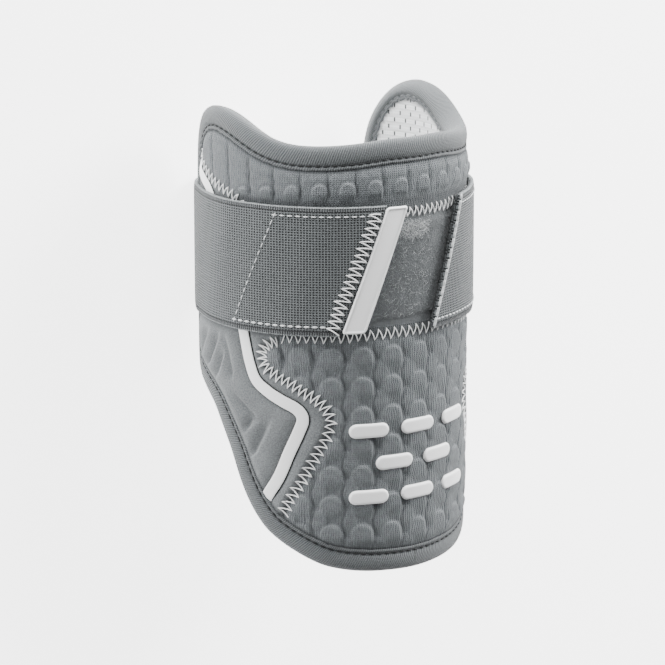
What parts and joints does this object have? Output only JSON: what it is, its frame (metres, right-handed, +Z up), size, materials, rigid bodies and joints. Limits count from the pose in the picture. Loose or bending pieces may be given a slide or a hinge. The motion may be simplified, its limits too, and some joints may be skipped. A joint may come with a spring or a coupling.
{
  "type": "baseball elbow guard",
  "caption": "Padded elbow guard for a batter: a curved foam shell with quilted knit facing, bound rim and one elastic hook-and-loop strap.",
  "frame": {"origin": "centre of the guard's footprint on the surface that its strap's back stretch lies on", "axes": "+X across the arm, +Y along the arm towards the shoulder, +Z up through the front of the guard"},
  "size_m": [0.11, 0.1754, 0.0912],
  "materials": {
    "knit": "ribbed knit over pressed scales",
    "smooth_cloth": "smooth embossed cloth",
    "binding_tape": "fine ribbed folded tape",
    "elastic": "woven elastic webbing",
    "brushed_loop": "brushed loop pile",
    "foam": "closed-cell foam",
    "lining_mesh": "white perforated mesh",
    "pale_trim": "pale moulded trim",
    "hook_tape": "hook tape"
  },
  "bodies": {
    "root": {"pad_core": "foam", "lining": "lining_mesh", "edge_binding": "binding_tape", "scale_panel_upper": "knit", "scale_panel_lower": "knit", "loop_panel": "brushed_loop", "wing_panel_left": "smooth_cloth", "wing_panel_right": "smooth_cloth", "accent_stripe_left": "pale_trim", "accent_stripe_right": "pale_trim", "hook_patch_left": "hook_tape", "hook_patch_right": "hook_tape", "strap": "elastic", "pull_tab": "pale_trim", "front_bar_1": "pale_trim", "front_bar_2": "pale_trim", "front_bar_3": "pale_trim", "front_bar_4": "pale_trim", "front_bar_5": "pale_trim", "front_bar_6": "pale_trim", "front_bar_7": "pale_trim", "front_bar_8": "pale_trim"}
  },
  "joints": []
}
